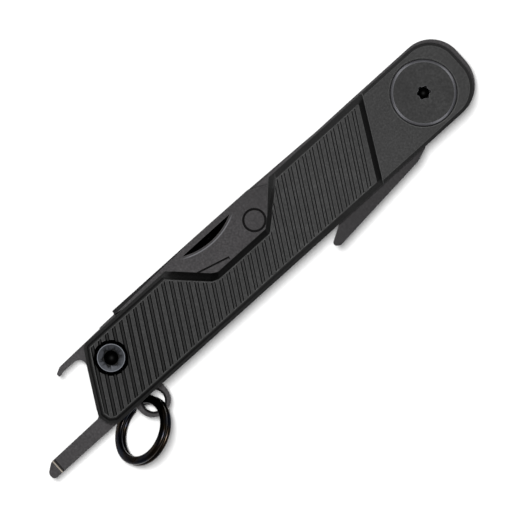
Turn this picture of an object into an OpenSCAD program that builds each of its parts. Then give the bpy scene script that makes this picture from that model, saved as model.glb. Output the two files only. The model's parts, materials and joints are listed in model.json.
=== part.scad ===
// Slim folding key-chain tool: bottle-opener hook and pry bar on the frame plate, folding scissors
// in front of it, a folding knife behind it, and a split ring in a lobe at the tail.
// The object lies on its back: +X runs along the handle to the pivot end, +Y is the side the
// tools open to, +Z points out of the front. The origin is the middle of the back face.

/* [Handle] */
// Distance from the origin to the pivot axis
pivot_x = 32.6; // [32:0.1:33]
// How far the plates reach past the pivot axis
end_reach = 8.65; // [8.4:0.05:8.7]
// Thickness of the back frame
back_t = 1.6; // [1.5:0.1:1.7]
// Thickness of the frame plate that carries the hook, the pry bar and the ring lobe
frame_t = 1.6; // [1.5:0.05:1.6]
// Free gap on each side of a folding tool
gap = 0.15; // [0.13:0.01:0.2]

/* [Tools] */
// Thickness of the knife blade
knife_t = 2.3; // [2.1:0.1:2.3]
// Thickness of one scissor half
leaf_t = 0.98; // [0.9:0.02:1]
// Gap between the two scissor halves
leaf_gap = 0.04; // [0.03:0.01:0.06]

/* [Front scale] */
// Thickness of the front scale over the scissors, at the smooth head
roof_t = 1.2; // [1.1:0.05:1.3]
// Height of the ribbed panel above the smooth head
panel_rise = 0.5; // [0.3:0.05:0.6]
// Number of grooves across the ribbed panel
groove_count = 38; // [30:1:38]
// Distance from groove to groove along the handle
groove_pitch = 1.53; // [1.5:0.01:1.6]
// Depth of a groove
groove_depth = 0.35; // [0.1:0.05:0.4]

/* [Pivot and screws] */
// Radius of the round pivot cover
cover_r = 5.45; // [5.2:0.05:5.5]
// Radius of the pivot barrel that the tools turn on
barrel_r = 2.5; // [2.4:0.05:2.5]
// Radius of the tail screw's head
tail_head_r = 2.28; // [2.1:0.02:2.4]

/* [Split ring] */
// Outer radius of the split ring
ring_r = 5.85; // [5.7:0.05:5.85]
// Width of the flat wire, measured along the ring's radius
wire_w = 1.4; // [1.2:0.05:1.4]
// Height of the two turns together
ring_h = 1.7; // [1.1:0.05:1.75]
// Tilt of the ring out of the handle's plane
ring_tilt = 48; // [48:1:54]

/* [Hidden] */

$fn = 64;
fit = 0.03;          // radial play of a shaft in its hole
cut = 0.5;           // how far a cutting shape runs past the face it cuts

// Heights of the layers, from the back face up
knife_z = back_t + gap;
frame_z = knife_z + knife_t + gap;
frame_top = frame_z + frame_t;
fixed_z = frame_top + gap;
moving_z = fixed_z + leaf_t + leaf_gap;
moving_top = moving_z + leaf_t;
roof_z = moving_top + gap;
head_top = roof_z + roof_t;
panel_top = head_top + panel_rise;

// Places on the handle, measured from the pivot axis
tail_screw_c = [-66, 1.95];
lobe_c = [-65.6, -7.6];
lobe_hole_c = [-65.6, -7.8];
lobe_hole_r = 1.78;
hole_chamfer = 0.36;
rivet_c = [-34, 3];
pin_angle = -60;
pin_track_r = 4.3;
pin_r = 0.8;
hub_r = 5.9;
washer_r = 3.35;
washer_t = 0.12;
lock_neck_x = -42;
lock_nose_x = -6.3;
lock_top_y = -3.75;
bottom_y = -6.6;
groove_angle = 60;
first_groove_x = -13.5;

steel = [0.27, 0.27, 0.28];
dark_steel = [0.2, 0.2, 0.21];
scale_black = [0.24, 0.24, 0.24];
bare_steel = [0.6, 0.6, 0.62];
bronze = [0.62, 0.45, 0.25];
ring_black = [0.08, 0.08, 0.09];

// Outlines are lists of [x, y, corner radius], measured from the pivot axis
frame_line = [[end_reach, 7.04, 5.5], [-10, 7.02, 0], [-64.75, 6.68, 0], [-73.3, 6.45, 0.5],
    [-74.45, 5.85, 0.25], [-74.4, 5.2, 0.2], [-73.2, 5.48, 0.8], [-69.5, 5.42, 1.2],
    [-69.85, 3.7, 1], [-74.05, -3.92, 0.7], [-84.6, -4.08, 1.2], [-86.25, -5.3, 1],
    [-86.05, -6.57, 0.7], [end_reach, bottom_y, 6]];

back_line = [[end_reach, 7.04, 5.5], [-10, 7.02, 0], [-64.75, 6.68, 0], [-67.8, 6.45, 1],
    [-69.7, 4.1, 1], [-73.8, -3.2, 1.5], [-73.2, -4.8, 0.8], [-63.2, -4.8, 0.5],
    [-61.8, bottom_y, 0.5], [end_reach, bottom_y, 6]];

spacer_line = [[-66.2, 6.45, 0.6], [-67.8, 6.45, 1], [-69.7, 4.1, 1], [-73.8, -3.2, 1.5],
    [-73.2, -4.8, 0.8], [-59, -4.8, 1], [-63.3, 2, 1]];

scale_line = [[end_reach - 0.8, 6.68, 5.1], [-10, 6.7, 0], [-40, 6.6, 0], [-68, 6.48, 1.2],
    [-69.8, 3.6, 1], [-73.9, -3.8, 0.8], [-73.5, -5.7, 1.5], [-72.1, -6.65, 1],
    [-40, -6.65, 0], [end_reach - 0.8, bottom_y, 5.5]];

panel_line = [[-7.36, 6.68, 0.3], [-68, 6.48, 1.2], [-69.8, 3.6, 1], [-73.9, -3.8, 0.8],
    [-73.5, -5.7, 1.5], [-72.1, -6.65, 1], [-14.64, -6.65, 0.3]];

// Everything on the tail side of the groove between the ribbed panel and the smooth head
groove_side = [[-7.3, 6.8, 0], [-7.3, 9, 0], [-90, 9, 0], [-90, -9, 0], [-14.7, -9, 0],
    [-14.7, -6.75, 0]];

window_top = [[-54.9, 9.2, 0], [-45.75, 0.2, 1], [-44.6, -0.3, 0.8], [-33.5, -0.3, 1],
    [-31.9, 1.5, 0.6], [-22.9, 9.2, 0]];
window_floor = [[-52.9, 9.2, 0], [-44.9, 1.3, 0.8], [-44, 0.74, 0.6], [-33.6, 0.74, 0.6],
    [-32.3, 1.9, 0.5], [-25.3, 9.2, 0]];

moving_line = [[-60.9, 7.45, 0.15], [-61, 6.66, 0.15], [-41.2, 1.25, 0.1], [-40.9, 0.1, 0.3],
    [-36, 0.1, 3], [-33.2, -0.5, 3], [-30.2, -0.7, 3], [-23.6, -6.2, 0.8], [-24.6, -6.85, 0.6],
    [-27.6, -8.55, 0.55], [-26.3, -9.35, 0.5], [-8, -7.65, 4], [-5.1, -6.55, 0.3],
    [-9, -4.6, 6], [-20, -0.2, 8], [-28.3, 5.9, 1.5], [-31.2, 7.36, 3], [-45, 7.45, 0]];

fixed_line = [[-60.6, 6.85, 0.1], [-60.8, 6.5, 0.1], [-46, 0.3, 3], [-36, -0.4, 3],
    [-33, -0.9, 3], [-20, -2.2, 20], [-5, -4.5, 0], [0, -3, 0], [0, 4, 0], [-6, 4.8, 0],
    [-20, 4.9, 12], [-31.5, 6.1, 3], [-36, 5.8, 3], [-46, 5.82, 5]];

knife_line = [[0, 5.5, 0], [-5, 6.6, 4], [-20, 7.08, 30], [-32, 7.36, 40], [-50, 7.15, 20],
    [-64.45, 6.85, 0.1], [-62, 2.4, 6], [-55, -2.3, 12], [-46, -3.3, 8], [-12.5, -3.3, 0.5], [-12, -2.4, 0.5],
    [-6, -2.4, 0], [0, -2.4, 0]];

function unit(v) = v / norm(v);
function turned(v, a) = [v[0] * cos(a) - v[1] * sin(a), v[0] * sin(a) + v[1] * cos(a)];

// The corner at p, between its neighbours a and b, as an arc of radius r
function corner(a, p, b, r) =
    let (u = unit(a - p), v = unit(b - p), half = acos(u * v) / 2, c = p + unit(u + v) * r / sin(half),
        start = p + u * r / tan(half) - c, side = -sign(u[0] * v[1] - u[1] * v[0]),
        steps = min(24, ceil(6 + 3 * r)))
    [for (i = [0:steps]) c + turned(start, side * i * (180 - 2 * half) / steps)];

function at(line, i) = let (p = line[(i + len(line)) % len(line)]) [p[0], p[1]];

function rounded(line) = [for (i = [0:len(line) - 1]) each
    line[i][2] == 0 ? [at(line, i)]
        : corner(at(line, i - 1), at(line, i), at(line, i + 1), line[i][2])];

// The same outline with every side moved in by d. The outline runs anticlockwise, so the inside is
// on the left of each side; corners keep a radius of at least 0.1
function inset(line, d) = [for (i = [0:len(line) - 1])
    let (p = at(line, i), before = turned(unit(p - at(line, i - 1)), 90),
        after = turned(unit(at(line, i + 1) - p), 90))
    [each p + d * (before + after) / (1 + before * after),
        line[i][2] == 0 ? 0 : max(0.1, line[i][2] - d)]];

module plate(line, z, t) {
    translate([0, 0, z]) linear_extrude(t) polygon(rounded(line));
}

module disc(c, r, z, t) {
    translate([c[0], c[1], z]) cylinder(r = r, h = t);
}

// Puts a shape that is drawn from the pivot axis where it belongs
module placed() {
    translate([pivot_x, 0, 0]) children();
}

// Six-lobed socket of outer radius r, cut down from height top, with a drill point at its bottom
module lobed_socket(c, r, top, depth) {
    translate([c[0], c[1], top - depth]) {
        cylinder(r = 0.8 * r, h = depth + cut, $fn = 24);
        translate([0, 0, -0.8 * r]) cylinder(r1 = 0, r2 = 0.8 * r, h = 0.8 * r, $fn = 24);
        for (i = [0:5]) rotate(60 * i + 30)
            translate([0.74 * r, 0, 0]) cylinder(r = 0.26 * r, h = depth + cut, $fn = 16);
    }
}

// Half-round slot that the stop pin runs in as a tool turns from shut to open
module pin_track(z, t) {
    translate([0, 0, z - cut]) {
        rotate(pin_angle) rotate_extrude(angle = 180)
            translate([pin_track_r - pin_r - 0.05, 0]) square([2 * pin_r + 0.1, t + 2 * cut]);
        for (a = [pin_angle, pin_angle + 180])
            rotate(a) translate([pin_track_r, 0, 0]) cylinder(r = pin_r + 0.05, h = t + 2 * cut);
    }
}

module pin_at(r, z, t) {
    rotate(pin_angle) translate([pin_track_r, 0, z]) cylinder(r = r, h = t);
}

// Every hole that runs through the three handle plates
module plate_holes(z, t) {
    disc([0, 0], barrel_r + fit, z - cut, t + 2 * cut);
    disc(tail_screw_c, 1.9 + fit, z - cut, t + 2 * cut);
    pin_at(pin_r + fit, z - cut, t + 2 * cut);
}

// Solid bevelled around its top edge: inset by run over the height drop
module bevelled(line, z, top, run, drop) {
    hull() {
        translate([0, 0, z]) linear_extrude(top - drop - z) polygon(rounded(line));
        translate([0, 0, top - 0.01]) linear_extrude(0.01) polygon(rounded(inset(line, run)));
    }
}

// Grooves of the ribbed panel, as one comb: a trapezoid below the panel's face for each groove
module groove_comb() {
    pitch = groove_pitch * sin(groove_angle);
    teeth = [for (i = [0:groove_count - 1]) each [[-i * pitch + 0.37, 0],
        [-i * pitch + 0.14, -groove_depth], [-i * pitch - 0.14, -groove_depth],
        [-i * pitch - 0.37, 0]]];
    back = [[-(groove_count - 1) * pitch - 1, 0], [-(groove_count - 1) * pitch - 1, 1], [1, 1],
        [1, 0]];
    translate([first_groove_x, 0, panel_top]) rotate(groove_angle - 90) rotate([90, 0, 0])
        linear_extrude(90, center = true) polygon(concat(teeth, back));
}

module front_scale() {
    color(scale_black) placed() difference() {
        union() {
            difference() {
                bevelled(scale_line, roof_z, head_top, 0.55, 0.5);
                plate(groove_side, panel_top - 0.9, 2);
            }
            bevelled(panel_line, roof_z + 0.1, panel_top, 1, 0.9);
            // Wall along the bottom edge and block at the tail, down to the frame plate
            intersection() {
                plate(scale_line, frame_top, roof_z + 0.1 - frame_top);
                union() {
                    translate([-80, -10, frame_top]) cube([47, 4.3, 10]);
                    translate([-80, -10, frame_top]) cube([17.6, 20, 10]);
                }
            }
        }
        // The grooves stop short of the panel's bevel and of the window, which leaves a thin rim
        intersection() {
            groove_comb();
            difference() {
                plate(inset(panel_line, 1.12), panel_top - 1, 2);
                plate(inset(window_top, -0.16), panel_top - 2, 4);
            }
        }
        plate(window_floor, roof_z - cut, cut + 0.02);
        hull() {
            plate(window_floor, roof_z, 0.02);
            plate(window_top, panel_top, cut);
        }
        disc([0, 0], cover_r + 0.15, head_top - 0.8, 2);
        disc([0, 0], barrel_r + fit, frame_top - cut, 5);
        pin_at(pin_r + fit, roof_z - cut, cut + 0.45);
        // Countersink round the tail screw's head
        translate([tail_screw_c[0], tail_screw_c[1], roof_z + 0.4])
            cylinder(r1 = tail_head_r + 0.04, r2 = tail_head_r + 0.7, h = 1.4);
        disc(tail_screw_c, 1.9 + fit, frame_top - cut, 5);
    }
}

module frame_plate() {
    color(steel) placed() difference() {
        union() {
            plate(frame_line, frame_z, frame_t);
            disc(lobe_c, 2.85, frame_z, frame_t);
            translate([lobe_c[0] - 2.85, lobe_c[1], frame_z]) cube([5.7, 2, frame_t]);
        }
        plate_holes(frame_z, frame_t);
        // Ring hole, chamfered on both faces so that the tilted ring passes through it
        disc(lobe_hole_c, lobe_hole_r, frame_z - cut, frame_t + 2 * cut);
        for (side = [0, 1]) translate([lobe_hole_c[0], lobe_hole_c[1], frame_z + side * frame_t])
            mirror([0, 0, side]) translate([0, 0, -0.01])
                cylinder(r1 = lobe_hole_r + hole_chamfer, r2 = lobe_hole_r, h = hole_chamfer);
        disc([-3.7, 2.9], 0.62, frame_top - 1.1, 2);
        // Pry tip: ground thin from behind, with a scored line across its front
        translate([0, 0, frame_z]) rotate([90, 0, 0]) linear_extrude(30, center = true) {
            polygon([[-81.5, 0], [-86.5, frame_t - 0.6], [-90, frame_t - 0.6], [-90, -1], [-81.5, -1]]);
            polygon([[-84.2, frame_t + 0.01], [-84.08, frame_t - 0.12], [-83.8, frame_t + 0.01],
                [-83.8, frame_t + 1], [-84.2, frame_t + 1]]);
        }
    }
}

module back_frame() {
    color(dark_steel) placed() difference() {
        plate(back_line, 0, back_t);
        plate_holes(0, back_t);
        disc([0, 0], 3.7, -cut, cut + 0.85);
        disc(tail_screw_c, 2.7, -cut, cut + 0.8);
        disc([-3.7, 2.9], 0.62, 0.5, 2);
        // Room for the lock bar, with a rounded seat at its neck
        translate([lock_neck_x, -10, -cut])
            cube([lock_nose_x + 0.3 - lock_neck_x, 10 + lock_top_y + 0.3, back_t + 2 * cut]);
        translate([lock_neck_x, lock_top_y + 0.3, back_t / 2]) rotate([90, 0, 0])
            cylinder(r = back_t / 2 + 0.04, h = 10);
    }
}

module back_spacer() {
    color(dark_steel) placed() difference() {
        plate(spacer_line, back_t, frame_z - back_t);
        disc(tail_screw_c, 1.9 + fit, back_t - cut, 5);
    }
}

module lock_bar() {
    color(dark_steel) placed() union() {
        translate([lock_neck_x, bottom_y, 0])
            cube([lock_nose_x - lock_neck_x, lock_top_y - bottom_y, back_t]);
        translate([lock_neck_x, lock_top_y, back_t / 2]) rotate([90, 0, 0])
            cylinder(r = back_t / 2, h = lock_top_y - bottom_y);
    }
}

module knife_blade() {
    grind = 8;
    color(steel) placed() difference() {
        union() {
            plate(knife_line, knife_z, knife_t);
            disc([0, 0], hub_r, knife_z, knife_t);
            // Corner that the lock bar's nose stands behind when the knife is open
            plate([[0, 2.9, 0], [6.2, 2.9, 0], [6.2, 4.9, 0.3], [3, 5.6, 0], [0, 5.6, 0]], knife_z, knife_t);
        }
        disc([0, 0], barrel_r + fit, knife_z - cut, 5);
        pin_track(knife_z, knife_t);
        disc([-3.7, 2.9], 0.5, knife_z - cut, cut + 0.2);
        // Hollow sides that bring the blade down to its edge
        translate([-80, 2.6, knife_z + knife_t]) rotate([grind, 0, 0])
            translate([0, -20, 0]) cube([66, 20, 5]);
        translate([-80, 2.6, knife_z]) rotate([-grind, 0, 0])
            translate([0, -20, -5]) cube([66, 20, 5]);
        // Nail nick in the back face
        intersection() {
            translate([-41, 14.4, knife_z - cut]) cylinder(r1 = 10.8, r2 = 8, h = cut + 0.5);
            translate([-60, -5, knife_z - cut]) cube([40, 11, 3]);
        }
    }
}

module scissor_fixed_half() {
    color(steel) placed() difference() {
        union() {
            plate(fixed_line, fixed_z, leaf_t);
            disc([0, 0], hub_r, fixed_z, leaf_t);
        }
        disc([0, 0], barrel_r + fit, fixed_z - cut, 5);
        pin_track(fixed_z, leaf_t);
        disc(rivet_c, 1.65, fixed_z - cut, 5);
        disc(rivet_c, 2.3, fixed_z - cut, cut + 0.4);
        disc([-9.5, 2.6], 0.6, fixed_z - cut, 5);
        disc([-3.7, 2.9], 0.5, fixed_z - cut, cut + 0.2);
    }
}

module scissor_hub_spacer() {
    color(steel) placed() difference() {
        disc([0, 0], hub_r, moving_z - leaf_gap, leaf_t + leaf_gap);
        disc([0, 0], barrel_r + fit, moving_z - cut, 5);
        pin_track(moving_z, leaf_t);
    }
}

module scissor_moving_half() {
    color(steel) placed() difference() {
        plate(moving_line, moving_z, leaf_t);
        disc(rivet_c, 1.65 + fit, moving_z - cut, 5);
        // V-shaped groove round the rivet's head
        translate([rivet_c[0], rivet_c[1], moving_top - 0.5]) cylinder(r1 = 1.68, r2 = 2.03, h = 0.55);
        // Nail nick: a slanted wall above, and a slope that runs out in an arc below
        intersection() {
            translate([-41.45, 16.35, moving_top - 0.9])
                cylinder(r1 = 10.6, r2 = 11.53, h = 1.4, $fn = 128);
            translate([-60, 6.42, moving_top]) rotate([-36, 0, 0])
                translate([0, -10, -3]) cube([40, 10, 5]);
            translate([-60, -5, moving_top - 0.9]) cube([40, 15, 3]);
        }
        // Ground cutting edge, and the bevel where the back edge drops towards the rivet
        translate([-41.2, 1.25, moving_top]) rotate(-15.3) translate([-25, 0.28, 0])
            rotate([60, 0, 0]) translate([0, -3, 0]) cube([25.2, 3, 3]);
        translate([-29.7, 6.62, moving_top]) rotate(-26.7) translate([-2.2, -0.28, 0])
            rotate([-60, 0, 0]) cube([4.4, 3, 3]);
        // Long bevel on the back edge towards the tip
        translate([-42, 7.45, moving_top]) rotate([0, 0, 2.1]) rotate([-40, 0, 0])
            translate([-25, -2, 0]) cube([26, 6, 3]);
    }
}

module scissor_rivet() {
    color(dark_steel) placed() union() {
        disc(rivet_c, 1.65, fixed_z + 0.05, moving_top - fixed_z - 0.05);
        disc(rivet_c, 2.25, fixed_z + 0.05, 0.35);
    }
}

module scissor_spring() {
    color(bare_steel) placed() difference() {
        plate([[-8.6, 3.6, 0.5], [-10.6, 3.6, 0.5], [-12, 1.8, 1], [-19.2, 0.85, 0.2],
            [-19.2, 0.4, 0.2], [-11.6, 1.2, 1], [-8.6, 1.4, 0.5]], moving_z - leaf_gap, 0.8);
        disc([-9.5, 2.6], 0.6, moving_z - cut, 5);
    }
}

module scissor_spring_rivet() {
    color(dark_steel) placed() union() {
        disc([-9.5, 2.6], 0.6, fixed_z + 0.05, moving_top - fixed_z - 0.1);
    }
}

module pivot_barrel() {
    color(steel) placed() difference() {
        union() {
            disc([0, 0], barrel_r, 0.9, head_top - 0.8 - 0.9);
            disc([0, 0], cover_r, head_top - 0.8, 0.6);
            translate([0, 0, head_top - 0.2]) cylinder(r1 = cover_r, r2 = cover_r - 0.5, h = 0.35);
        }
        lobed_socket([0, 0], 1.18, head_top + 0.15, 1.9);
        disc([0, 0], 1.6, 0, 6.2);
    }
}

module pivot_screw() {
    color(dark_steel) placed() difference() {
        union() {
            disc([0, 0], 3.6, 0.05, 0.8);
            disc([0, 0], 1.57, 0.05, 6);
        }
        translate([0, 0, 0.9]) mirror([0, 0, 1]) lobed_socket([0, 0], 1.18, 0.85, 0.7);
    }
}

module tail_screw() {
    head_z = roof_z + 0.4;
    color(dark_steel) placed() difference() {
        union() {
            disc(tail_screw_c, tail_head_r, head_z, 1.2);
            disc(tail_screw_c, 1.25, 3, head_z - 3);
        }
        // Dished face
        translate([tail_screw_c[0], tail_screw_c[1], head_z + 0.75])
            cylinder(r1 = 0, r2 = tail_head_r - 0.08, h = 0.46);
        lobed_socket(tail_screw_c, 1.48, head_z + 1.2, 1);
    }
}

module tail_barrel() {
    color(dark_steel) placed() difference() {
        union() {
            disc(tail_screw_c, 1.9, 0.05, roof_z + 0.4 - 0.05);
            disc(tail_screw_c, 2.6, 0.05, 0.7);
        }
        disc(tail_screw_c, 1.28, 2.5, 8);
        translate([0, 0, 0.9]) mirror([0, 0, 1]) lobed_socket(tail_screw_c, 1.18, 0.85, 0.7);
    }
}

module stop_pin() {
    foot_z = back_t - 0.7;
    color(bare_steel) placed() pin_at(pin_r, foot_z, roof_z + 0.4 - foot_z);
}

module washer(z) {
    color(bronze) placed() difference() {
        disc([0, 0], washer_r, z, washer_t);
        disc([0, 0], barrel_r + fit, z - cut, 2);
    }
}

module knife_back_washer() washer(back_t);
module knife_front_washer() washer(frame_z - washer_t);
module scissor_back_washer() washer(frame_top);
module scissor_front_washer() washer(roof_z - washer_t);

module knife_detent_ball() {
    color(bare_steel) placed() translate([-3.7, 2.9, back_t + 0.1 - 0.6]) sphere(r = 0.6, $fn = 32);
}

module scissor_detent_ball() {
    color(bare_steel) placed() translate([-3.7, 2.9, frame_top + 0.1 - 0.6]) sphere(r = 0.6, $fn = 32);
}

module split_ring() {
    mid_r = ring_r - wire_w / 2;
    turn = 27;
    // Lift of the ring's centre that keeps its lowest edge just above the resting surface
    ring_z = ring_r * sin(ring_tilt) + ring_h / 2 * cos(ring_tilt) + 0.05;
    mid_z = frame_z + frame_t / 2;
    phase = asin((ring_z - mid_z) / (mid_r * sin(ring_tilt)));
    // The wire lies against the outer side of its hole
    slack = 0.12;
    shift = turned([-mid_r * cos(phase), -mid_r * sin(phase) * cos(ring_tilt) - slack], turn);
    color(ring_black) placed()
        translate([lobe_hole_c[0] + shift[0], lobe_hole_c[1] + shift[1], ring_z])
        rotate(turn) rotate([-ring_tilt, 0, 0]) rotate_extrude($fn = 96)
        polygon([for (i = [0:23]) let (a = 15 * i)
            [mid_r + wire_w / 2 * sign(cos(a)) * pow(abs(cos(a)), 0.6),
             ring_h / 2 * sign(sin(a)) * pow(abs(sin(a)), 0.6)]]);
}

front_scale();
frame_plate();
back_frame();
back_spacer();
lock_bar();
knife_blade();
scissor_fixed_half();
scissor_hub_spacer();
scissor_moving_half();
scissor_rivet();
scissor_spring();
scissor_spring_rivet();
pivot_barrel();
pivot_screw();
tail_screw();
tail_barrel();
stop_pin();
knife_back_washer();
knife_front_washer();
scissor_back_washer();
scissor_front_washer();
knife_detent_ball();
scissor_detent_ball();
split_ring();
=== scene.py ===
"""Looks of the slim folding key-chain tool: materials, split ring, floor, light and camera."""
import json
import math

import bmesh
import bpy
from mathutils import Matrix, Vector


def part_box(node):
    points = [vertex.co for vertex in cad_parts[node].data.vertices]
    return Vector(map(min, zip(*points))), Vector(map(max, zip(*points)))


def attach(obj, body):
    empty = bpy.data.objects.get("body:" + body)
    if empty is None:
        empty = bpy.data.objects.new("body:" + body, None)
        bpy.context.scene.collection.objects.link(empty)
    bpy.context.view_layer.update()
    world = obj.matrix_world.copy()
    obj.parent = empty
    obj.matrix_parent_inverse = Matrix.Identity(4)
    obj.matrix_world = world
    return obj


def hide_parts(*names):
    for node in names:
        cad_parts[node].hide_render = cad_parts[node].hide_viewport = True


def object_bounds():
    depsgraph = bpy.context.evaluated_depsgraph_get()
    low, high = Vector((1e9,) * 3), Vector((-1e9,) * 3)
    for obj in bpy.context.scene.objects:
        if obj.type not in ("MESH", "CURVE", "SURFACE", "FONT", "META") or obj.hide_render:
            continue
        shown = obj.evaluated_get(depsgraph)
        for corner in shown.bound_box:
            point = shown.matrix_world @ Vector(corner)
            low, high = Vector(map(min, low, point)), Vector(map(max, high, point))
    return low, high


MM = 0.001
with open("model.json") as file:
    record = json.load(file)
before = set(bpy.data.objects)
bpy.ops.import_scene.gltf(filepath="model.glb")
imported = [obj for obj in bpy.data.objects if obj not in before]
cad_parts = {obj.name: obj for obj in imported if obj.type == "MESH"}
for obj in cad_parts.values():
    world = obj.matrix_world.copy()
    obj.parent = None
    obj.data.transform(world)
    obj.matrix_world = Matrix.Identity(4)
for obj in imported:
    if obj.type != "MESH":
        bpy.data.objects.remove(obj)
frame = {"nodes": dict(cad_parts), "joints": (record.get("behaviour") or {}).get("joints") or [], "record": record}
cad_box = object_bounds()
nodes = frame["nodes"]
joints = {joint["name"]: joint for joint in frame["joints"]}


# ---------------------------------------------------------------- materials

def new_material(name):
    mat = bpy.data.materials.new(name)
    mat.use_nodes = True
    tree = mat.node_tree
    return mat, tree, tree.nodes["Principled BSDF"]


def add(tree, kind, **inputs):
    node = tree.nodes.new(kind)
    for key, value in inputs.items():
        node.inputs[key.replace("_", " ")].default_value = value
    return node


def ramp(tree, source, low, high, colour_low, colour_high):
    node = tree.nodes.new("ShaderNodeValToRGB")
    node.color_ramp.elements[0].position = low
    node.color_ramp.elements[1].position = high
    node.color_ramp.elements[0].color = colour_low
    node.color_ramp.elements[1].color = colour_high
    tree.links.new(source, node.inputs["Fac"])
    return node.outputs["Color"]


def grey(value, tint=(1.0, 1.0, 1.0)):
    return (value * tint[0], value * tint[1], value * tint[2], 1.0)


def edge_mask(tree, radius):
    """1 on sharp outer edges and 0 on flats, from how much a rounded normal differs."""
    bevel = add(tree, "ShaderNodeBevel", Radius=radius)
    bevel.samples = 4
    geometry = tree.nodes.new("ShaderNodeNewGeometry")
    dot = tree.nodes.new("ShaderNodeVectorMath")
    dot.operation = "DOT_PRODUCT"
    tree.links.new(bevel.outputs["Normal"], dot.inputs[0])
    tree.links.new(geometry.outputs["Normal"], dot.inputs[1])
    return ramp(tree, dot.outputs["Value"], 0.86, 0.99, grey(1.0), grey(0.0))


def place_on_part(tree):
    """X, Y and Z on the part, in metres, as three outputs."""
    coords = tree.nodes.new("ShaderNodeTexCoord")
    parts = tree.nodes.new("ShaderNodeSeparateXYZ")
    tree.links.new(coords.outputs["Object"], parts.inputs["Vector"])
    return parts.outputs


def facing(tree):
    """How far the face looks along X, Y and Z; Z is 1 on a level face and 0 on a wall."""
    geometry = tree.nodes.new("ShaderNodeNewGeometry")
    parts = tree.nodes.new("ShaderNodeSeparateXYZ")
    tree.links.new(geometry.outputs["True Normal"], parts.inputs["Vector"])
    return parts.outputs


def rise(tree, source, start, end, top=1.0):
    """0 at start and before it, top at end and after it; start may be the larger one."""
    node = tree.nodes.new("ShaderNodeMapRange")
    node.inputs["From Min"].default_value = start
    node.inputs["From Max"].default_value = end
    node.inputs["To Max"].default_value = top
    tree.links.new(source, node.inputs["Value"])
    return node.outputs["Result"]


def math_node(tree, operation, first, second):
    node = tree.nodes.new("ShaderNodeMath")
    node.operation = operation
    for value, socket in zip((first, second), node.inputs):
        if isinstance(value, float):
            socket.default_value = value
        else:
            tree.links.new(value, socket)
    return node.outputs["Value"]


def both(tree, first, *others):
    for other in others:
        first = math_node(tree, "MULTIPLY", first, other)
    return first


def between(tree, source, start, full, fading, end):
    """1 from full to fading, falling to 0 at start and at end."""
    return both(tree, rise(tree, source, start, full), rise(tree, source, end, fading))


def far_from(tree, centre):
    """Distance from an upright axis through centre."""
    spot = place_on_part(tree)
    along = math_node(tree, "SUBTRACT", spot["X"], centre[0])
    aside = math_node(tree, "SUBTRACT", spot["Y"], centre[1])
    square = math_node(tree, "ADD", both(tree, along, along), both(tree, aside, aside))
    return math_node(tree, "POWER", square, 0.5)


def overlay(mat, mask, colour, metallic, rough):
    """Show another surface where mask is 1."""
    tree = mat.node_tree
    shader = tree.nodes["Principled BSDF"]
    for name, value in (("Base Color", (*colour, 1.0)), ("Metallic", metallic), ("Roughness", rough)):
        socket = shader.inputs[name]
        mix = tree.nodes.new("ShaderNodeMix")
        mix.data_type = "RGBA" if name == "Base Color" else "FLOAT"
        # The Mix node has one pair of inputs and one output per kind of value, reached by number
        before, after, result = (6, 7, 2) if name == "Base Color" else (2, 3, 0)
        if socket.links:
            tree.links.new(socket.links[0].from_socket, mix.inputs[before])
        else:
            mix.inputs[before].default_value = socket.default_value
        mix.inputs[after].default_value = value
        tree.links.new(mask, mix.inputs[0])
        tree.links.new(mix.outputs[result], socket)


# Colour, metallic and roughness of a place that hardly any light reaches
DEEP_SHADE = ((0.004, 0.004, 0.004), 1.0, 0.48)

WEAR_AND_HIGHLIGHT_EDGE = 0.15 * MM
MOTTLE_SIZE = 0.32 * MM
MOTTLE_DEPTH = 0.12
GRAIN_DEPTH = 0.02 * MM


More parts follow.
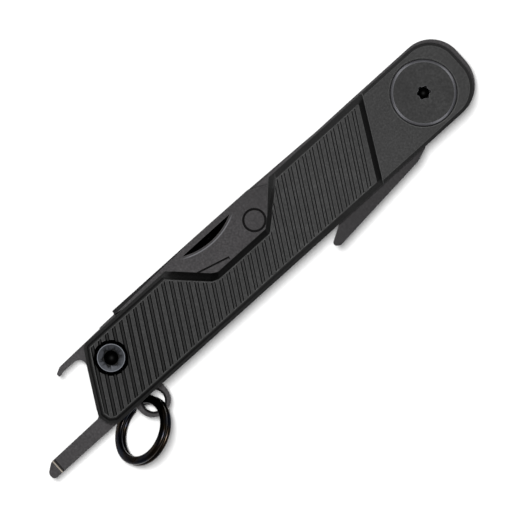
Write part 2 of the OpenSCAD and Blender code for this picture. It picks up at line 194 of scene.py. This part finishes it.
def coated_metal(name, base, wear_and_highlight, rough, gloss, grain, bump, tint=(1, 1, 1), dull=(0.0, 0.1, 0.0)):
    """Black-coated metal: fine grain, faint blotches, and edges a little lighter, partly rubbed by handling and
    partly a painted highlight.

    grain is the size of one speck in metres; dull is where along X it gets rougher, and by how much
    (by default it doesn't)."""
    mat, tree, shader = new_material(name)
    link = tree.links.new
    coords = tree.nodes.new("ShaderNodeTexCoord")
    specks = add(tree, "ShaderNodeTexNoise", Scale=1.0 / grain, Detail=3.0, Roughness=0.7)
    blotches = add(tree, "ShaderNodeTexNoise", Scale=160.0, Detail=4.0, Roughness=0.55)
    link(coords.outputs["Object"], specks.inputs["Vector"])
    link(coords.outputs["Object"], blotches.inputs["Vector"])

    dark, light = grey(base * 0.72, tint), grey(base * 1.3, tint)
    speck_colour = ramp(tree, specks.outputs["Fac"], 0.3, 0.72, dark, light)
    blotch_colour = ramp(tree, blotches.outputs["Fac"], 0.35, 0.7, grey(0.86), grey(1.12))
    blend = tree.nodes.new("ShaderNodeMix")
    blend.data_type = "RGBA"
    blend.blend_type = "MULTIPLY"
    blend.inputs["Factor"].default_value = 1.0
    link(speck_colour, blend.inputs["A"])
    link(blotch_colour, blend.inputs["B"])

    # The lighter edges are partly rubbed by handling and partly a painted highlight
    wear_and_highlight_mix = tree.nodes.new("ShaderNodeMix")
    wear_and_highlight_mix.data_type = "RGBA"
    wear_and_highlight_mix.inputs["B"].default_value = grey(wear_and_highlight, tint)
    link(edge_mask(tree, WEAR_AND_HIGHLIGHT_EDGE), wear_and_highlight_mix.inputs["Factor"])
    link(blend.outputs["Result"], wear_and_highlight_mix.inputs["A"])
    link(wear_and_highlight_mix.outputs["Result"], shader.inputs["Base Color"])

    rough_range = add(tree, "ShaderNodeMapRange", To_Min=rough - 0.06, To_Max=rough + 0.08)
    link(blotches.outputs["Fac"], rough_range.inputs["Value"])
    extra = rise(tree, place_on_part(tree)["X"], *dull)
    mottle = add(tree, "ShaderNodeTexNoise", Scale=1.0 / MOTTLE_SIZE, Detail=2.0)
    link(coords.outputs["Object"], mottle.inputs["Vector"])
    uneven = add(tree, "ShaderNodeMapRange", To_Min=-MOTTLE_DEPTH, To_Max=MOTTLE_DEPTH)
    link(mottle.outputs["Fac"], uneven.inputs["Value"])
    dulled = math_node(tree, "ADD", rough_range.outputs["Result"], extra)
    link(math_node(tree, "ADD", dulled, uneven.outputs["Result"]), shader.inputs["Roughness"])
    relief = add(tree, "ShaderNodeBump", Strength=bump, Distance=GRAIN_DEPTH)
    link(specks.outputs["Fac"], relief.inputs["Height"])
    link(relief.outputs["Normal"], shader.inputs["Normal"])
    shader.inputs["Specular IOR Level"].default_value = gloss
    shader.inputs["Specular Tint"].default_value = grey(1.0, tint)
    return mat


def middle_of(piece):
    low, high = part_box(piece)
    return (low + high) / 2


def shade_socket(mat, piece, start, full):
    """Darken the socket in a piece, from start to full below the piece's top."""
    tree = mat.node_tree
    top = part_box(piece)[1].z
    overlay(mat, rise(tree, place_on_part(tree)["Z"], top - start, top - full), *DEEP_SHADE)


def turned_cover(name):
    """The satin coating of the pivot cover, with its bevel turned to bright metal."""
    mat = coated_metal(name, base=0.0135, wear_and_highlight=0.055, rough=0.46, gloss=0.078, grain=0.16 * MM, bump=0.5)
    tree = mat.node_tree
    bevel = between(tree, facing(tree)["Z"], 0.74, 0.78, 0.88, 0.94)
    overlay(mat, bevel, (0.52, 0.52, 0.56), 1.0, 0.34)
    shade_socket(mat, "pivot_barrel", 0.23 * MM, 0.35 * MM)
    return mat


def ribbed_scale(name):
    """The anodised scale, with painted shade in its grooves, more of it towards the tail, and in its screw seat,
    slanted groove and window walls.
    """
    head_side, tail_side = 12 * MM, -28 * MM
    mat = coated_metal(name, base=0.0135, wear_and_highlight=0.08, rough=0.468, gloss=0.1, grain=0.2 * MM, bump=0.8,
                       dull=(head_side, tail_side, 0.028))
    tree = mat.node_tree
    spot, look = place_on_part(tree), facing(tree)
    steep = rise(tree, look["Z"], 0.97, 0.93)
    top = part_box("front_scale")[1].z
    # Painted shade in the bottoms of the grooves, deepening towards the tail
    shaded_groove_floor = between(tree, spot["Z"], top - 0.47 * MM, top - 0.44 * MM, top - 0.3 * MM, top - 0.08 * MM)
    overlay(mat, both(tree, shaded_groove_floor, rise(tree, spot["X"], head_side, tail_side, 0.9)), *DEEP_SHADE)

    # Painted shade in the seat of the tail screw
    seat_radius = 3.0 * MM
    near_screw = rise(tree, far_from(tree, middle_of("tail_screw")), seat_radius, seat_radius - 0.1 * MM)
    sunk = rise(tree, spot["Z"], top - 0.01 * MM, top - 0.1 * MM)
    overlay(mat, both(tree, near_screw, sunk), *DEEP_SHADE)

    # Painted shade on the slanted groove between the head and the ribs, measured square to its length
    slant = math.radians(28.915)
    near_edge, far_edge, fade = 17.9 * MM, 19.25 * MM, 0.1 * MM
    along_x, along_y = both(tree, spot["X"], math.cos(slant)), both(tree, spot["Y"], math.sin(slant))
    across = math_node(tree, "SUBTRACT", along_x, along_y)
    slanted = both(tree, between(tree, across, near_edge, near_edge + fade, far_edge - fade, far_edge),
                   between(tree, spot["Y"], -5.9 * MM, -5.6 * MM, 5.6 * MM, 5.9 * MM))
    overlay(mat, both(tree, steep, slanted, 0.38), *DEEP_SHADE)

    # Painted shade on the walls of the window, darkest where they face the pivot
    window = both(tree, between(tree, spot["X"], -18.2 * MM, -17.6 * MM, 5.4 * MM, 6.0 * MM),
                  between(tree, spot["Y"], -0.2 * MM, 0.0, 5.6 * MM, 6.0 * MM))
    darkest = both(tree, rise(tree, look["Y"], 0.3, 0.6), rise(tree, look["X"], -0.3, 0.3, 0.8))
    overlay(mat, both(tree, steep, window, darkest), *DEEP_SHADE)
    return mat


# The coating of the steel pieces, and where along X it gets duller; the frame plate stays even
STEEL = {"base": 0.0145, "wear_and_highlight": 0.055, "rough": 0.44, "gloss": 0.106, "grain": 0.16 * MM, "bump": 0.5,
         "tint": (1.0, 0.96, 0.99)}
STEEL_DULL = (-12 * MM, 14.6 * MM, 0.088)


def pry_steel(name):
    """Coated steel with its coating rubbed off to bright metal along the edge of the pry tip's grind; the bright
    stripe is also a painted glint.
    """
    mat = coated_metal(name, **STEEL)
    tree = mat.node_tree
    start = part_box("frame_plate")[0].x + 1.707 * MM
    end, fade = start + 0.34 * MM, 0.06 * MM
    # A painted glint along the edge of the grind, made as a stripe of bare bright metal
    line = between(tree, place_on_part(tree)["X"], start, start + fade, end - fade, end)
    upward = rise(tree, facing(tree)["Z"], 0.3, 0.5)
    overlay(mat, both(tree, line, upward), (0.045, 0.04, 0.034), 1.0, 0.4)
    return mat


def nicked_steel(name):
    """Coated steel with painted shade in its nail nick and a painted highlight on the nick's lower lip."""
    mat = coated_metal(name, **STEEL, dull=STEEL_DULL)
    tree = mat.node_tree
    spot = place_on_part(tree)
    low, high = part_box("scissor_moving_half")
    # The nick is a piece of a round cut, whose middle lies beyond the blade's edge
    cut_radius = 11.5 * MM
    away = far_from(tree, middle_of("scissor_rivet") + Vector((-7.45 * MM, 13.35 * MM, 0)))
    # Painted shade over the floor of the nick
    within = rise(tree, away, cut_radius + 0.1 * MM, cut_radius)
    sunk = between(tree, spot["Z"], low.z + 0.01 * MM, low.z + 0.03 * MM,
                   high.z - 0.05 * MM, high.z - 0.01 * MM)
    overlay(mat, both(tree, within, sunk), *DEEP_SHADE)
    # Painted highlight along the nick's lower lip
    rim = between(tree, away, cut_radius - 0.06 * MM, cut_radius,
                  cut_radius + 0.1 * MM, cut_radius + 0.22 * MM)
    near_top = rise(tree, spot["Z"], high.z - 0.15 * MM, high.z - 0.07 * MM)
    lip = both(tree, rim, rise(tree, spot["Y"], 6.3 * MM, 5.6 * MM), near_top)
    overlay(mat, lip, (0.028, 0.028, 0.03), 1.0, 0.44)
    return mat


def polished_metal(name, colour, rough, tint):
    """Smooth metal with a faint haze and fine handling marks."""
    mat, tree, shader = new_material(name)
    link = tree.links.new
    coords = tree.nodes.new("ShaderNodeTexCoord")
    haze = add(tree, "ShaderNodeTexNoise", Scale=700.0, Detail=5.0, Roughness=0.6)
    marks = add(tree, "ShaderNodeTexNoise", Scale=5000.0, Detail=2.0)
    link(coords.outputs["Object"], haze.inputs["Vector"])
    link(coords.outputs["Object"], marks.inputs["Vector"])
    tone = ramp(tree, haze.outputs["Fac"], 0.3, 0.75, grey(colour * 0.8, tint), grey(colour * 1.2, tint))
    link(tone, shader.inputs["Base Color"])
    rough_range = add(tree, "ShaderNodeMapRange", To_Min=rough - 0.04, To_Max=rough + 0.1)
    link(haze.outputs["Fac"], rough_range.inputs["Value"])
    link(rough_range.outputs["Result"], shader.inputs["Roughness"])
    relief = add(tree, "ShaderNodeBump", Strength=0.15, Distance=0.01 * MM)
    link(marks.outputs["Fac"], relief.inputs["Height"])
    link(relief.outputs["Normal"], shader.inputs["Normal"])
    shader.inputs["Metallic"].default_value = 1.0
    return mat


SCREW_TINT = (0.92, 0.97, 1.08)


def screw_steel(name):
    """Dark polished screw head with painted shade in its socket."""
    mat = polished_metal(name, colour=0.034, rough=0.4, tint=SCREW_TINT)
    shade_socket(mat, "tail_screw", 0.16 * MM, 0.28 * MM)
    return mat


def gloss_black(name):
    """Thin glossy black plating over steel, with a warm and cool drift in its reflections."""
    mat, tree, shader = new_material(name)
    link = tree.links.new
    coords = tree.nodes.new("ShaderNodeTexCoord")
    drift = add(tree, "ShaderNodeTexNoise", Scale=420.0, Detail=3.0)
    link(coords.outputs["Object"], drift.inputs["Vector"])
    tone = ramp(tree, drift.outputs["Fac"], 0.4, 0.6, (0.022, 0.016, 0.011, 1), (0.012, 0.014, 0.021, 1))
    link(tone, shader.inputs["Base Color"])
    rough_range = add(tree, "ShaderNodeMapRange", To_Min=0.22, To_Max=0.34)
    link(drift.outputs["Fac"], rough_range.inputs["Value"])
    link(rough_range.outputs["Result"], shader.inputs["Roughness"])
    relief = add(tree, "ShaderNodeBump", Strength=0.1, Distance=0.01 * MM)
    link(drift.outputs["Fac"], relief.inputs["Height"])
    link(relief.outputs["Normal"], shader.inputs["Normal"])
    shader.inputs["Metallic"].default_value = 1.0
    return mat


MATERIALS = {
    "scale": ribbed_scale("scale_anodised"),
    "coated_steel": coated_metal("coated_steel", **STEEL, dull=STEEL_DULL),
    "fastener": polished_metal("fastener", colour=0.05, rough=0.4, tint=SCREW_TINT),
    "bare_steel": polished_metal("bare_steel", colour=0.5, rough=0.3, tint=(1.0, 1.0, 1.02)),
    "bronze": polished_metal("bronze", colour=0.4, rough=0.38, tint=(1.25, 0.92, 0.55)),
    "ring_black": gloss_black("ring_black"),
}

# Pieces whose finish differs from the rest of their slot
OWN_FINISH = {"pivot_barrel": turned_cover("turned_cover"), "frame_plate": pry_steel("pry_steel"),
              "scissor_moving_half": nicked_steel("nicked_steel"), "tail_screw": screw_steel("screw_steel")}

slot_of = {part["node"]: part["material_slot"] for part in frame["record"]["subparts"]}


def dress(obj, material):
    obj.data.materials.clear()
    obj.data.materials.append(material)


# ---------------------------------------------------------------- carried-over CAD parts

# Widths of the rounded edges: the usual one, and the pieces that differ from it
USUAL_EDGE = 0.08 * MM
EDGE_WIDTH = {"front_scale": 0.07 * MM, "frame_plate": 0.12 * MM, "scissor_moving_half": 0.05 * MM,
              "pivot_barrel": 0.05 * MM, "tail_screw": 0.05 * MM, "pivot_screw": 0.05 * MM,
              "tail_barrel": 0.05 * MM, "knife_back_washer": 0.02 * MM, "knife_front_washer": 0.02 * MM,
              "scissor_back_washer": 0.02 * MM, "scissor_front_washer": 0.02 * MM,
              "knife_detent_ball": 0.01 * MM, "scissor_detent_ball": 0.01 * MM}


def soften(obj, width):
    """Merge the CAD facets into flat faces and round the edges a little."""
    weld = obj.modifiers.new("weld", "WELD")
    weld.merge_threshold = 0.001 * MM
    flat = obj.modifiers.new("flat", "DECIMATE")
    flat.decimate_type = "DISSOLVE"
    flat.angle_limit = math.radians(0.5)
    bevel = obj.modifiers.new("edges", "BEVEL")
    bevel.width = width
    bevel.segments = 2
    bevel.limit_method = "ANGLE"
    bevel.angle_limit = math.radians(28)
    bevel.use_clamp_overlap = True
    # Where the clamp stops an edge short, its points fall together: merge them again
    again = obj.modifiers.new("weld_again", "WELD")
    again.merge_threshold = 0.002 * MM


for name, obj in nodes.items():
    dress(obj, OWN_FINISH.get(name, MATERIALS[slot_of[name]]))
    soften(obj, EDGE_WIDTH.get(name, USUAL_EDGE))


# ---------------------------------------------------------------- split ring

UP = Vector((0, 0, 1))
RING_TILT = math.radians(48)
RING_MID_R = 5.14 * MM
WIRE_W = 1.38 * MM
WIRE_H = 0.84 * MM


def squared(value, power):
    """Push a sine or cosine outwards, which squares off a round section."""
    return math.copysign(abs(value) ** power, value)


def split_ring():
    """Two turns of flat wire with round edges, wound as one coil, where the CAD ring is."""
    low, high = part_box("split_ring")
    swing_axis = -Vector(joints["ring_swing"]["axis"]).normalized()
    down = UP.cross(swing_axis) * math.cos(RING_TILT) - UP * math.sin(RING_TILT)
    place = Matrix((swing_axis, down, swing_axis.cross(down))).transposed().to_4x4()
    place.translation = (low + high) / 2
    # The wire starts and ends, and steps from turn to turn, on the low side under the handle
    start, step_length, turns = math.radians(54), math.radians(21), 1.94
    steps, sides = 240, 24
    mesh = bmesh.new()
    rings = []
    for i in range(steps + 1):
        run = turns * 2 * math.pi * i / steps
        climb = min(1.0, max(0.0, (run - (2 * math.pi - step_length)) / step_length))
        height = (climb * climb * (3 - 2 * climb) - 0.5) * WIRE_H
        # The ends of the wire are ground round
        inner = min(i, steps - i) / 3
        size = math.sqrt(max(0.05, 1 - (1 - min(1.0, inner)) ** 2))
        loop = []
        for k in range(sides):
            around = 2 * math.pi * k / sides
            reach = RING_MID_R + WIRE_W / 2 * size * squared(math.cos(around), 0.7)
            lift = height + WIRE_H / 2 * size * squared(math.sin(around), 0.85)
            angle = start + run
            point = Vector((reach * math.cos(angle), reach * math.sin(angle), lift))
            loop.append(mesh.verts.new(place @ point))
        rings.append(loop)
    for this, following in zip(rings, rings[1:]):
        for k in range(sides):
            beside = (k + 1) % sides
            mesh.faces.new((this[k], following[k], following[beside], this[beside]))
    mesh.faces.new(list(reversed(rings[0])))
    mesh.faces.new(rings[-1])
    bmesh.ops.recalc_face_normals(mesh, faces=mesh.faces)
    data = bpy.data.meshes.new("split_ring_coil")
    mesh.to_mesh(data)
    mesh.free()
    for face in data.polygons:
        face.use_smooth = True
    coil = bpy.data.objects.new("split_ring_coil", data)
    bpy.context.scene.collection.objects.link(coil)
    dress(coil, MATERIALS["ring_black"])
    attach(coil, "split_ring")
    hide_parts("split_ring")


split_ring()


# ---------------------------------------------------------------- floor, light, camera

def floor():
    mesh = bpy.data.meshes.new("floor")
    half = 1.5
    corners = [(-half, -half, 0), (half, -half, 0), (half, half, 0), (-half, half, 0)]
    mesh.from_pydata(corners, [], [(0, 1, 2, 3)])
    obj = bpy.data.objects.new("floor", mesh)
    bpy.context.scene.collection.objects.link(obj)
    obj.location.z = cad_box[0][2] - 0.02 * MM
    mat, tree, shader = new_material("floor_paper")
    shader.inputs["Base Color"].default_value = (0.93, 0.93, 0.93, 1)
    shader.inputs["Roughness"].default_value = 0.9
    shader.inputs["Specular IOR Level"].default_value = 0.1
    dress(obj, mat)


def area_light(name, power, size, place, aim):
    light = bpy.data.lights.new(name, "AREA")
    light.energy = power
    light.shape = "RECTANGLE"
    light.size, light.size_y = size
    obj = bpy.data.objects.new(name, light)
    bpy.context.scene.collection.objects.link(obj)
    obj.location = place
    obj.rotation_euler = (Vector(aim) - Vector(place)).to_track_quat("-Z", "Y").to_euler()


VIEW_TURN = math.radians(-42)      # the camera's right-hand side, turned from +X
VIEW_RIGHT = Vector((math.cos(VIEW_TURN), math.sin(VIEW_TURN), 0))
VIEW_UP = Vector((-math.sin(VIEW_TURN), math.cos(VIEW_TURN), 0))
VIEW_CENTRE = Vector((-5.0 * MM, -2.96 * MM, 8 * MM))
VIEW_WIDTH = 84.7 * MM
CAMERA_HEIGHT = 1.0
SENSOR_WIDTH = 36                  # millimetres, Blender's unit for lenses
RIM_DISTANCE, RIM_HEIGHT = 0.8, 0.29


def in_view(right, up, height):
    return VIEW_CENTRE + VIEW_RIGHT * right + VIEW_UP * up + Vector((0, 0, height))


def camera():
    data = bpy.data.cameras.new("camera")
    data.sensor_width = SENSOR_WIDTH
    data.lens = SENSOR_WIDTH * CAMERA_HEIGHT / VIEW_WIDTH
    data.clip_start, data.clip_end = 0.01, 10
    obj = bpy.data.objects.new("camera", data)
    bpy.context.scene.collection.objects.link(obj)
    obj.location = VIEW_CENTRE + Vector((0, 0, CAMERA_HEIGHT))
    obj.rotation_euler = (0, 0, VIEW_TURN)
    bpy.context.scene.camera = obj


floor()
area_light("key", power=16, size=(0.16, 0.3), place=in_view(-0.067, 0.074, 1.15), aim=VIEW_CENTRE)
for turn in (math.radians(degrees) for degrees in (-52, 38, 132, 220)):
    spot = in_view(RIM_DISTANCE * math.cos(turn), RIM_DISTANCE * math.sin(turn), RIM_HEIGHT)
    area_light("rim", power=0.16, size=(0.4, 0.3), place=spot, aim=VIEW_CENTRE)
camera()

world = bpy.data.worlds.new("world")
world.use_nodes = True
world.node_tree.nodes["Background"].inputs["Color"].default_value = (1, 1, 1, 1)
world.node_tree.nodes["Background"].inputs["Strength"].default_value = 0.1
bpy.context.scene.world = world
bpy.context.scene.view_settings.view_transform = "Standard"
